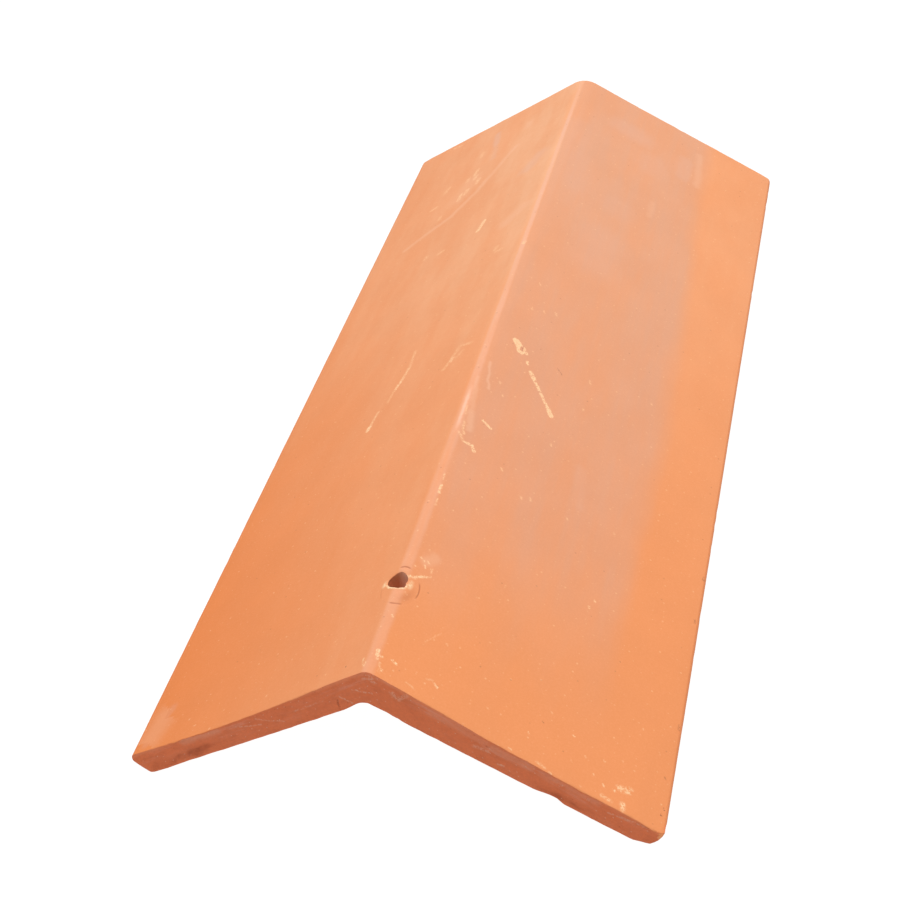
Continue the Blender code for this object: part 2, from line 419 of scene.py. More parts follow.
class Section:
    """The tile's skin as rows of closed loops: across, height and distance along.

    Each loop runs over the outer faces from left to right, down the right edge, back through
    the hollow and up the left edge.
    """

    def __init__(self):
        right, left = edge_profile(1)[1:-1], edge_profile(-1)[::-1][1:-1]
        self.face_count = len(COLUMNS)
        self.edge_count = len(right)
        self.outer = slice(0, self.face_count)
        self.right_edge = slice(self.outer.stop, self.outer.stop + self.edge_count)
        self.hollow = slice(self.right_edge.stop, self.right_edge.stop + self.face_count)
        self.left_edge = slice(self.hollow.stop, self.hollow.stop + self.edge_count)

        x, s = np.meshgrid(COLUMNS, ROWS)
        x_out, s_out = squares_to_circles(x, s, True)
        x_in, s_in = squares_to_circles(x, s, False)
        x_in, s_in = x_in[:, ::-1] * HOLLOW_END / FACE_END, s_in[:, ::-1]
        rows = (len(ROWS), 1)
        edge_s = np.repeat(ROWS[:, None], self.edge_count, axis=1)
        self.along = np.hstack([s_out, edge_s, s_in, edge_s])
        across = np.hstack([x_out, np.tile(right[:, 0], rows), x_in, np.tile(left[:, 0], rows)])
        height = np.hstack([
            outer_height(x_out, s_out),
            np.tile(right[:, 1], rows),
            hollow_height(x_in),
            np.tile(left[:, 1], rows),
        ])

        depth = self.relief(across)
        step_x = np.roll(across, -1, axis=1) - np.roll(across, 1, axis=1)
        step_z = np.roll(height, -1, axis=1) - np.roll(height, 1, axis=1)
        length = np.hypot(step_x, step_z)
        self.across = across + depth * step_z / length
        self.height = self.with_worn_foot(self.across, height - depth * step_x / length)

    def from_nose(self):
        """Steps from the outer face round each edge, and 0 on the outer faces."""
        steps = np.zeros(self.left_edge.stop)
        steps[self.right_edge] = np.arange(self.edge_count) + 1
        steps[self.left_edge] = np.arange(self.edge_count, 0, -1)
        steps[self.hollow] = self.edge_count
        return steps

    def relief(self, across):
        """Depth of every point below the plain form."""
        along = self.along
        depth = np.zeros_like(across)
        depth[:, self.outer] = outer_relief(across[:, self.outer], along[:, self.outer])
        depth[:, self.hollow] = hollow_relief(across[:, self.hollow], along[:, self.hollow])
        steps = self.from_nose()
        for edge, seed in ((self.right_edge, 20), (self.left_edge, 21)):
            place = np.broadcast_to(steps[edge], across[:, edge].shape)
            depth[:, edge] = 0.03 * (1 + lumps(along[:, edge], place, 6.0, 3.0, seed))
            depth[:, edge] += 0.22 * ramp(lumps(along[:, edge], place, 4.5, 5.0, 23), 0.6, 1.0)
            fade = 1 - ramp(steps[edge], 1, NOSE_STEPS)
            depth[:, edge] += near_dip(across[:, edge], along[:, edge]) * fade
        upper = steps < NOSE_STEPS - 2
        near_upper = arris_radius(across, *NEAR_UPPER_ARRIS) + 0.8 * ramp(across, 93, 101)
        far_upper = arris_radius(across, *FAR_UPPER_ARRIS)
        near = np.where(upper, near_upper, arris_radius(across, *NEAR_LOWER_ARRIS))
        far = np.where(upper, far_upper, arris_radius(across, *FAR_LOWER_ARRIS))
        return depth + arris_depth(along, near) + arris_depth(LENGTH - along, far)

    def with_worn_foot(self, across, height):
        """Raises the right near foot to the break that its chip has left."""
        uneven = 0.15 * lumps(across, self.along, 1.8, 2.2, 70)
        fade = 1 - ramp(self.along, 2.0, WORN_FOOT_LENGTH)
        break_line = FOOT_DROP + (follow(WORN_FOOT, across) + uneven) * fade
        worn = (across > WORN_FOOT[0][0]) & (self.along < WORN_FOOT_LENGTH)
        return np.where(worn, np.maximum(height, break_line), height)


class Shell:
    """Vertices and faces of the tile, with the marks that its material reads."""

    MARKS = ("end_face", "bore", "underside", "ring", "stain", "crumb")

    def __init__(self):
        self.places = []
        self.marks = []
        self.faces = []

    def add(self, points, **marks):
        """Adds points of any array shape and returns their numbers in that shape."""
        shape = points.shape[:-1]
        first = sum(len(block) for block in self.places)
        self.places.append(points.reshape(-1, 3))
        columns = [np.broadcast_to(marks.get(name, 0.0), shape).reshape(-1) for name in self.MARKS]
        self.marks.append(np.stack(columns, axis=-1))
        return np.arange(first, first + columns[0].size).reshape(shape)

    def strips(self, grid, keep=None):
        """Quads over a grid of vertex numbers."""
        quads = np.stack([grid[:-1, :-1], grid[:-1, 1:], grid[1:, 1:], grid[1:, :-1]], axis=-1)
        if keep is not None:
            quads = quads[keep]
        self.faces.append(quads.reshape(-1, 4))


def ring_of(grid, rows, columns):
    """Vertex numbers round a block of a grid."""
    first_row, last_row = rows
    first_column, last_column = columns
    return np.concatenate([
        grid[first_row, first_column:last_column],
        grid[first_row:last_row, last_column],
        grid[last_row, last_column:first_column:-1],
        grid[last_row:first_row:-1, first_column],
    ])


def cut_stain(x, z):
    """Share of dirt on the near cut, in blotches above its lower arris."""
    above = z - hollow_height(x)
    blotches = ramp(lumps(x, above, 2.8, 1.7, 45), -0.6, 0.5)
    return follow(CUT_DIRT_SHARE, x) * hump(above, 2.4, 3.4) * (0.3 + 0.7 * blotches)


def end_cap(shell, section, loop, is_near):
    """Fills one end: rows from the outer face down to the hollow, following both edges."""
    row, s = (0, 0.0) if is_near else (-1, LENGTH)
    across, height = section.across[row], section.height[row]
    top = np.arange(section.face_count)
    bottom = np.arange(section.hollow.stop - 1, section.hollow.start - 1, -1)
    right = np.arange(section.outer.stop - 1, section.hollow.start + 1)
    left = np.concatenate([[0], np.arange(section.left_edge.stop - 1, section.hollow.stop - 2, -1)])
    outline = np.stack([across, height], axis=-1)
    share = np.linspace(0, 1, len(right))[:, None, None]
    grid = outline[top][None] * (1 - share) + outline[bottom][None] * share
    for border, column, origin in ((left, 0, 0), (right, -1, section.face_count - 1)):
        bulge = outline[border] - grid[:, column]
        distance = np.abs(COLUMNS - COLUMNS[origin])
        fade = np.clip(1 - distance / CAP_BLEND, 0.0, 1.0) ** 2
        grid = grid + bulge[:, None] * fade[None, :, None]
    x, z = grid[..., 0], grid[..., 1]
    points = np.stack([x, place_along(x, z, np.full_like(x, s)), z], axis=-1)
    numbers = np.zeros(x.shape, dtype=int)
    x, z = x[1:-1, 1:-1], z[1:-1, 1:-1]
    stain = cut_stain(x, z) if is_near else 0.0
    numbers[1:-1, 1:-1] = shell.add(points[1:-1, 1:-1], end_face=cut_share(x), stain=stain)
    numbers[0], numbers[-1] = loop[top], loop[bottom]
    numbers[:, 0], numbers[:, -1] = loop[left], loop[right]
    shell.strips(numbers[::-1] if is_near else numbers)


def cut_share(x):
    """Share of freshly cut clay across an end. The nose of the right edge is worn smooth."""
    return 1 - ramp(x, *NOSE_WORN)


def hole_shade(x, s):
    """Share of painted shade on the clay inside the ring, towards its near right side."""
    reach, turn = ring_reach(x, s)
    return 0.30 * hump(reach, 0.72, 0.3) * hump(turn, -0.7, 1.1)


def skin_marks(section):
    """Marks of the skin by name."""
    from_end = np.minimum(section.along, LENGTH - section.along)
    steps = section.from_nose()
    ring, stain, crumb = np.zeros((3, *section.across.shape))
    x, s = section.across[:, section.outer], section.along[:, section.outer]
    reach, turn = ring_reach(x, s)
    ring[:, section.outer] = ring_presence(turn) * hump(reach, 1.0, 0.5)
    # painted shade inside the ring round the nail hole; on the near cut this attribute holds dirt
    stain[:, section.outer] = hole_shade(x, s)
    crumb[:, section.outer] = crumbs(x, s)
    return {
        "end_face": (1 - ramp(from_end, 0.0, 0.25)) * cut_share(section.across),
        "underside": np.broadcast_to(ramp(steps, 6, 11), section.across.shape),
        "ring": ring,
        "stain": stain,
        "crumb": crumb,
    }


def bore_wall(shell, top, bottom):
    """Rows of points down the nail hole, between two rings of vertices."""
    flat = np.concatenate(shell.places)
    share = np.linspace(0, 1, HOLE_LEVELS + 1)[1:-1, None, None]
    wall = flat[top][None] * (1 - share) + flat[bottom][None] * share
    turn = np.arctan2(wall[..., 1] - wall[..., 1].mean(), wall[..., 0] - wall[..., 0].mean())
    depth = wall[..., 2]
    ribs = 0.10 * lumps(turn + 4, depth, 0.16, 9.0, 33) + 0.14 * lumps(turn + 4, depth, 0.6, 2.5, 34)
    wall[..., 0] += ribs * np.cos(turn)
    wall[..., 1] += ribs * np.sin(turn)
    return wall


def build_shell():
    section = Section()
    y = place_along(section.across, section.height, section.along)
    shell = Shell()
    points = np.stack([section.across, y, section.height], axis=-1)
    skin = shell.add(points, **skin_marks(section))

    rows = [int(np.argmin(abs(ROWS - HOLE_S - side * HOLE_RADIUS))) for side in (-1, 1)]
    columns = [int(np.argmin(abs(COLUMNS - HOLE_X - side * HOLE_RADIUS))) for side in (-1, 1)]
    hollow_columns = [section.hollow.stop - 1 - column for column in reversed(columns)]
    around = np.hstack([skin, skin[:, :1]])
    keep = np.ones((around.shape[0] - 1, around.shape[1] - 1), dtype=bool)
    keep[slice(*rows), slice(*columns)] = False
    keep[slice(*rows), slice(*hollow_columns)] = False
    shell.strips(around, keep)

    top = ring_of(skin[:, section.outer], rows, columns)
    bottom = ring_of(skin[:, section.hollow][:, ::-1], rows, columns)
    levels = shell.add(bore_wall(shell, top, bottom), bore=1.0)
    column = np.vstack([top[None], levels, bottom[None]])
    shell.strips(np.hstack([column, column[:, :1]]))

    near_cap = len(shell.faces)
    end_cap(shell, section, skin[0], True)
    end_cap(shell, section, skin[-1], False)
    return shell, near_cap


# Scuffs on the outer faces: from x, s to x, s, then half width, softness and strength. A stroke is
# broken up by gaps. A strength above 1 leaves few of them, and so does a softness above 2.

CREAM_STROKES = (
    # blob and scratch on the right wing
    (10.3, 206.4, 11.6, 204.6, 1.0, 0.8, 4.0), (11.6, 204.6, 13.2, 200.8, 0.95, 0.8, 4.0),
    (13.6, 204.2, 15.5, 201.2, 0.4, 0.7, 1.6), (16.9, 196.6, 17.4, 195.0, 0.3, 0.6, 1.2),
    (19.4, 191.0, 21.4, 187.6, 0.5, 0.8, 1.4), (21.4, 187.6, 24.5, 182.6, 0.34, 0.7, 1.4),
    (24.5, 182.6, 29.6, 174.2, 0.28, 0.7, 1.2), (29.6, 174.2, 31.6, 170.5, 0.55, 0.7, 2.5),
    # short scratches by the crest
    (8.4, 147.2, 11.8, 145.0, 0.22, 0.5, 4.0), (1.5, 134.5, 4.2, 130.2, 0.25, 0.7, 0.5),
    (4.2, 130.2, 7.4, 130.2, 0.22, 0.7, 1.2), (7.4, 130.2, 9.1, 127.4, 0.22, 0.7, 1.4),
    # scratch on the left wing
    (-41.6, 219.5, -40.8, 206.5, 0.2, 1.0, 0.4), (-40.8, 206.5, -42.4, 197.0, 0.36, 0.8, 0.7),
    (-42.4, 197.0, -44.3, 190.4, 0.36, 0.7, 1.6), (-44.3, 190.4, -45.2, 183.0, 0.2, 0.8, 0.45),
    (-48.5, 178.0, -49.8, 168.5, 0.28, 0.8, 0.6), (-49.8, 168.5, -50.2, 165.6, 0.55, 0.7, 2.5),
    # feathery scuff on the left wing
    (-9.0, 202.4, -15.0, 203.9, 0.1, 1.4, 0.4), (-15.0, 203.9, -17.0, 197.0, 0.1, 1.5, 0.42),
    (-16.6, 196.8, -17.4, 193.4, 0.4, 1.2, 0.75), (-17.6, 193.4, -19.6, 189.5, 0.1, 1.4, 0.5),
    (-12.4, 199.0, -14.6, 195.0, 0.05, 1.2, 0.3),
    # dashes on the upper left wing
    (-52.6, 399.1, -53.4, 393.7, 0.5, 1.2, 0.55), (-51.8, 392.0, -52.2, 388.4, 0.5, 1.2, 0.6),
    (-56.7, 393.0, -57.0, 390.2, 0.45, 1.2, 0.45), (-49.0, 385.4, -49.2, 381.6, 0.6, 1.2, 0.65),
    (-54.2, 379.0, -54.6, 374.6, 0.6, 1.3, 0.6), (-57.0, 377.0, -57.4, 371.0, 0.6, 1.3, 0.65),
    (-31.8, 326.5, -33.6, 317.6, 0.5, 1.0, 1.6), (-54.5, 420.2, -54.5, 415.1, 0.5, 1.3, 0.4),
    (-69.1, 394.9, -70.2, 390.8, 0.5, 1.5, 0.4), (-72.2, 377.0, -75.0, 376.2, 0.45, 1.2, 0.5),
    (-65.4, 361.0, -65.9, 358.6, 0.45, 1.2, 0.4), (-12.6, 283.1, -15.6, 283.0, 0.4, 1.3, 0.35),
    (-16.2, 288.2, -16.8, 285.6, 0.5, 1.2, 0.4), (-52.4, 315.3, -54.4, 314.5, 0.4, 1.2, 0.45),
    (-62.2, 318.2, -62.8, 316.4, 0.45, 1.2, 0.42), (-79.4, 451.0, -74.6, 448.8, 0.4, 1.2, 0.4),
    (-0.4, 281.0, -0.8, 279.4, 0.45, 0.8, 0.6),
    # dotted streaks beside the nail hole
    (2.4, 49.2, 4.4, 50.2, 0.45, 0.6, 1.0), (5.0, 50.9, 9.0, 53.8, 0.14, 0.6, 0.95),
    (3.0, 55.7, 3.3, 55.3, 0.1, 0.4, 0.6), (8.9, 55.8, 8.6, 58.0, 0.1, 0.5, 0.55),
    (4.0, 60.8, 5.4, 59.6, 0.1, 0.5, 0.6), (6.1, 57.7, 6.5, 56.9, 0.14, 0.5, 0.7),
    (6.5, 60.4, 6.9, 59.8, 0.14, 0.5, 0.6), (6.0, 66.3, 6.2, 66.0, 0.14, 0.5, 0.55),
    (0.6, 44.0, 1.4, 42.4, 0.12, 0.5, 0.5), (3.2, 41.4, 3.6, 40.6, 0.1, 0.5, 0.5),
    # specks by the right corner of the near end
    (84.8, 4.6, 87.6, 5.2, 0.5, 1.5, 0.8), (88.0, 7.0, 88.8, 6.4, 0.2, 0.7, 0.6),
    (83.0, 3.0, 83.4, 2.6, 0.12, 0.5, 0.7), (86.6, -1.2, 87.0, -3.0, 0.35, 1.1, 0.85),
    (79.6, -1.5, 82.6, -2.2, 0.12, 1.0, 0.7), (79.2, 3.0, 79.6, 2.6, 0.1, 0.5, 0.6),
    (57.6, -1.2, 60.2, -1.8, 0.06, 0.8, 0.6), (48.2, -1.0, 48.7, -1.2, 0.12, 0.6, 0.6),
    (62.0, -2.7, 62.4, -2.9, 0.1, 0.5, 0.6), (72.2, -1.8, 72.6, -2.0, 0.1, 0.5, 0.55),
    # flecks on the crest by the near end
    (1.3, 10.9, 1.7, 8.6, 0.26, 0.6, 3.0), (1.7, 8.2, 1.9, 7.2, 0.1, 0.6, 0.8),
    (2.7, 8.8, 3.2, 9.0, 0.12, 0.5, 0.7), (4.2, 3.8, 4.5, 3.0, 0.12, 0.5, 0.75),
    (3.0, 6.0, 3.8, 2.0, 0.05, 0.6, 0.6), (6.3, 9.7, 8.0, 8.9, 0.14, 0.5, 1.3),
    (-3.0, 7.4, -2.7, 4.2, 0.08, 0.6, 0.6), (-1.9, 3.1, -1.5, 5.0, 0.08, 0.6, 0.6),
    (12.6, 3.5, 15.6, 2.6, 0.05, 0.6, 0.32), (18.2, 9.3, 20.0, 9.9, 0.05, 0.6, 0.32),
    (20.4, 9.4, 21.9, 7.9, 0.12, 0.5, 0.7), (1.6, 28.5, 1.8, 28.0, 0.14, 0.5, 0.7),
    # flecks along the right side of the crest
    (2.2, 101.4, 2.2, 96.8, 0.16, 0.6, 1.8), (2.5, 93.0, 2.6, 89.4, 0.1, 0.5, 0.6),
    (1.9, 107.8, 2.0, 104.6, 0.06, 0.5, 0.6), (1.0, 151.6, 1.4, 146.2, 0.05, 0.6, 0.45),
    (2.2, 142.0, 2.6, 136.0, 0.05, 0.8, 0.6), (2.6, 135.8, 3.4, 134.4, 0.1, 0.7, 0.55),
    # single specks
    (16.2, 27.4, 16.5, 27.0, 0.08, 0.4, 0.5), (20.6, 28.0, 20.9, 27.6, 0.08, 0.4, 0.5),
    (14.0, 24.2, 18.0, 31.2, 0.06, 0.5, 0.2), (52.7, 9.0, 53.0, 8.7, 0.1, 0.4, 0.75),
    (66.8, 17.1, 67.1, 16.8, 0.1, 0.4, 0.75), (67.8, 6.7, 68.1, 6.3, 0.1, 0.4, 0.7),
    (72.0, 11.0, 72.3, 10.6, 0.08, 0.4, 0.6), (58.3, 22.2, 58.6, 21.8, 0.08, 0.4, 0.55),
    (38.5, 10.6, 38.8, 10.2, 0.1, 0.4, 0.6), (75.5, 5.4, 75.8, 5.0, 0.08, 0.4, 0.5),
    (78.1, 13.1, 78.4, 12.7, 0.08, 0.4, 0.5), (84.1, 16.6, 84.4, 16.2, 0.08, 0.4, 0.5),
    (88.5, 34.6, 88.8, 34.2, 0.08, 0.4, 0.45), (63.7, 82.5, 64.0, 82.0, 0.14, 0.5, 0.75),
    (62.4, 78.0, 62.6, 77.5, 0.14, 0.5, 0.7), (65.0, 122.5, 65.3, 122.0, 0.14, 0.5, 0.55),
    (68.2, 211.4, 68.4, 210.8, 0.14, 0.5, 0.5), (42.3, 205.2, 42.6, 203.4, 0.14, 0.5, 0.5),
    (42.6, 185.2, 43.0, 184.2, 0.14, 0.5, 0.45), (34.5, 154.2, 34.8, 153.0, 0.14, 0.5, 0.5),
    (20.0, 126.2, 20.5, 124.8, 0.14, 0.5, 0.5), (29.6, 116.2, 30.0, 115.2, 0.14, 0.5, 0.5),
    (32.6, 118.0, 33.3, 116.8, 0.14, 0.5, 0.55), (47.2, 117.4, 47.5, 116.8, 0.14, 0.5, 0.45),
    (9.6, 175.2, 9.9, 174.4, 0.14, 0.5, 0.7), (12.0, 168.2, 12.2, 167.4, 0.14, 0.5, 0.7),
    (16.8, 235.8, 17.2, 234.6, 0.14, 0.5, 0.6), (21.6, 238.6, 22.2, 237.2, 0.14, 0.5, 0.6),
    (11.8, 234.0, 12.2, 232.6, 0.14, 0.5, 0.55), (11.7, 253.8, 12.0, 252.6, 0.14, 0.5, 0.45),
    (-23.2, 179.2, -23.5, 178.4, 0.14, 0.5, 0.55), (-24.3, 168.6, -24.5, 167.8, 0.14, 0.5, 0.55),
    (-43.5, 7.8, -43.8, 7.4, 0.08, 0.4, 0.5), (-62.9, 8.4, -63.2, 8.0, 0.08, 0.4, 0.5),
    (-79.1, 10.0, -79.4, 9.6, 0.08, 0.4, 0.5), (-74.5, 5.5, -74.8, 5.1, 0.08, 0.4, 0.5),
    (-66.2, 1.0, -66.5, 0.6, 0.08, 0.4, 0.45), (-57.1, -1.0, -57.4, -1.4, 0.08, 0.4, 0.45),
)
DARK_STROKES = (
    (13.2, 203.4, 14.0, 202.0, 0.16, 0.5, 0.45), (29.0, 202.2, 31.0, 199.8, 0.1, 0.5, 0.5),
    (-10.0, 6.5, -9.8, 6.1, 0.14, 0.3, 0.6), (56.2, 16.6, 56.5, 16.2, 0.12, 0.3, 0.5),
    (99.8, 5.6, 99.9, 5.1, 0.18, 0.3, 0.8), (99.3, 2.8, 99.4, 2.3, 0.18, 0.3, 0.8),
    (98.6, 18.8, 98.7, 18.1, 0.18, 0.4, 0.55), (100.4, 44.0, 100.5, 42.0, 0.14, 0.5, 0.4),
    (100.6, 123.4, 100.7, 122.0, 0.22, 0.5, 0.45), (99.9, 98.4, 99.9, 97.0, 0.22, 0.5, 0.45),
)

# Broad soft marks, pinkish ones and then lilac ones

PALE_STROKES = (
    (-31.1, 403.7, -46.7, 369.3, 0.3, 2.6, 0.32), (-46.7, 369.3, -58.1, 353.5, 0.3, 2.8, 0.34),
    (-58.1, 353.5, -71.5, 346.9, 0.3, 2.6, 0.34), (-71.5, 346.9, -81.2, 340.6, 0.3, 2.2, 0.3),
    (-28.1, 428.0, -28.1, 423.0, 0.5, 3.0, 0.24), (-9.6, 319.5, -17.0, 310.8, 1.0, 6.0, 0.22),
    (-52.0, 388.0, -57.0, 372.0, 2.0, 8.0, 0.16), (64.7, 432.7, 66.4, 402.0, 0.3, 2.8, 0.22),
    (48.2, 364.8, 48.3, 351.8, 0.2, 2.4, 0.16), (3.6, 184.4, 6.2, 167.6, 0.05, 1.1, 0.42),
    (1.2, 172.0, 3.2, 150.0, 0.2, 1.6, 0.24), (3.4, 149.4, 4.8, 138.0, 0.3, 1.9, 0.34),
    (6.4, 60.0, 8.2, 64.0, 0.5, 3.0, 0.26), (-95.6, 5.0, -93.0, 17.0, 1.0, 9.0, 0.24),
)
LILAC_STROKES = (
    (-49.1, 436.3, -47.0, 421.0, 0.5, 2.8, 0.34), (-46.5, 419.7, -44.4, 404.0, 0.3, 2.6, 0.18),
    (-11.4, 376.0, -16.6, 364.0, 0.8, 6.0, 0.24), (-91.0, 20.0, -96.5, 3.0, 0.2, 2.8, 0.16),
    (47.8, 148.0, 50.3, 127.0, 0.3, 3.6, 0.12), (25.6, 421.0, 34.0, 420.0, 2.0, 10.0, 0.2),
    (59.0, 420.0, 58.6, 404.0, 1.0, 5.5, 0.18), (43.0, 402.0, 43.4, 396.0, 2.0, 10.0, 0.12),
    (3.0, 400.0, 12.0, 345.0, 1.0, 10.0, 0.12), (30.0, 312.0, 29.3, 290.0, 2.0, 15.0, 0.14),
    (34.0, 347.0, 34.2, 343.0, 2.0, 10.0, 0.1),
)

# Scratches and a dark crack on the near cut: across and down from the crest line, then as above

CUT_SCRATCHES = (
    (0.8, -2.8, 2.2, -5.2, 0.05, 1.4, 0.55), (-1.6, -4.0, 3.6, -3.6, 0.04, 0.7, 0.45),
    (8.0, -9.2, 10.6, -11.6, 0.2, 1.4, 0.45), (10.6, -11.6, 13.4, -9.6, 0.2, 1.2, 0.35),
    (-6.3, -10.1, 0.9, -10.8, 0.05, 0.5, 0.55), (-11.3, -14.3, -6.8, -16.4, 0.05, 0.5, 0.5),
    (-78.0, -48.4, -63.0, -40.0, 0.2, 2.8, 0.3), (-46.0, -31.4, -34.5, -30.4, 0.05, 0.5, 0.45),
    (-53.0, -36.6, -44.0, -33.6, 0.05, 0.5, 0.4), (-30.0, -24.6, -18.0, -17.4, 0.05, 0.6, 0.3),
    (22.0, -16.4, 40.0, -27.2, 0.2, 2.8, 0.18), (42.3, -29.6, 55.4, -36.0, 0.2, 3.0, 0.22),
    (60.0, -38.6, 78.0, -49.0, 0.2, 3.0, 0.18), (36.0, -29.6, 41.0, -31.4, 0.2, 1.0, 0.4),
    (43.6, -36.8, 45.8, -37.4, 0.12, 0.6, 0.6), (65.4, -43.3, 67.2, -42.6, 0.12, 0.6, 0.6),
    (69.4, -56.0, 70.2, -55.6, 0.15, 0.6, 0.6), (75.0, -48.4, 75.8, -48.2, 0.15, 0.6, 0.55),
    (82.0, -53.4, 97.0, -58.6, 0.05, 0.7, 0.4),
)
CUT_CRACKS = (
    (-12.6, -16.0, -12.2, -20.4, 0.1, 0.6, 0.55),
)


def nearest_strokes(corners, table):
    """For each corner of each face, its place beside the stroke nearest to the face, and its size.

    The place is the distance off the stroke's line, the distance along it and its length.
    """
    table = np.array(table)
    start = table[:, 0:2]
    run = table[:, 2:4] - start
    length = np.hypot(run[:, 0], run[:, 1])
    way = run / length[:, None]
    offset = corners.mean(axis=1)[:, None] - start[None]
    along = np.clip((offset * way).sum(axis=-1), 0.0, length)
    gap = np.linalg.norm(offset - along[..., None] * way, axis=-1)
    nearest = np.argmin(gap - table[:, 4], axis=1)
    offset = corners - start[nearest][:, None]
    way = way[nearest][:, None]
    place = np.empty(corners.shape[:2] + (3,))
    place[..., 0] = offset[..., 0] * way[..., 1] - offset[..., 1] * way[..., 0]
    place[..., 1] = (offset * way).sum(axis=-1)
    place[..., 2] = length[nearest][:, None]
    size = np.repeat(table[nearest][:, None, 4:7], corners.shape[1], axis=1)
    return place, size, nearest


def two_tables(corners, first, second):
    """Nearest stroke of two tables, and whether it comes from the second."""
    place, size, nearest = nearest_strokes(corners, first + second)
    is_second = np.repeat((nearest >= len(first))[:, None], corners.shape[1], axis=1)
    return place, size, is_second


def mark_corners(mesh, name, kind, values):
    layer = mesh.attributes.new(name, kind, "CORNER")
    field = "vector" if kind == "FLOAT_VECTOR" else "value"
    layer.data.foreach_set(field, values.astype(np.float32).reshape(-1))


def clay_mesh(name):
    shell, near_cap = build_shell()
    places = np.concatenate(shell.places)
    marks = np.concatenate(shell.marks)
    first_cap_face = sum(len(block) for block in shell.faces[:near_cap])
    cap_faces = slice(first_cap_face, first_cap_face + len(shell.faces[near_cap]))
    used, faces = np.unique(np.concatenate(shell.faces), return_inverse=True)
    faces = faces.reshape(-1, 4)
    places, marks = places[used], marks[used]

    corners = places[faces][..., :2] - (0.0, NEAR_CREST_Y)
    cap_corners = places[faces[cap_faces]][..., [0, 2]] - (0.0, CREST_Z)
    places = places - (0.0, 0.0, FOOT_DROP)
    mesh = bpy.data.meshes.new(name)
    mesh.from_pydata((places * MM).tolist(), [], faces.tolist())
    for index, mark in enumerate(Shell.MARKS):
        layer = mesh.attributes.new(mark, "FLOAT", "POINT")
        layer.data.foreach_set("value", marks[:, index])

    soft = two_tables(corners, PALE_STROKES, LILAC_STROKES)
    crisp = two_tables(corners, CREAM_STROKES, DARK_STROKES)
    on_cap = two_tables(cap_corners, CUT_SCRATCHES, CUT_CRACKS)
    for values, cap_values in zip(crisp, on_cap):
        values[cap_faces] = cap_values
    for mark, (place, size, is_second) in (("soft", soft), ("crisp", crisp)):
        mark_corners(mesh, mark + "_place", "FLOAT_VECTOR", place)
        mark_corners(mesh, mark + "_size", "FLOAT_VECTOR", size)
        mark_corners(mesh, mark + "_second", "FLOAT", is_second)
    mesh.update()
    mesh.shade_smooth()
    mesh.set_sharp_from_angle(angle=SHARP_ANGLE)
    return mesh


# Material

def new_material(name, **inputs):
    """Material with a node tree, and its shader. Inputs are named with _ for each space."""
    material = bpy.data.materials.new(name)
    material.use_nodes = True
    shader = material.node_tree.nodes["Principled BSDF"]
    for key, value in inputs.items():
        shader.inputs[key.replace("_", " ")].default_value = value
    return material, shader


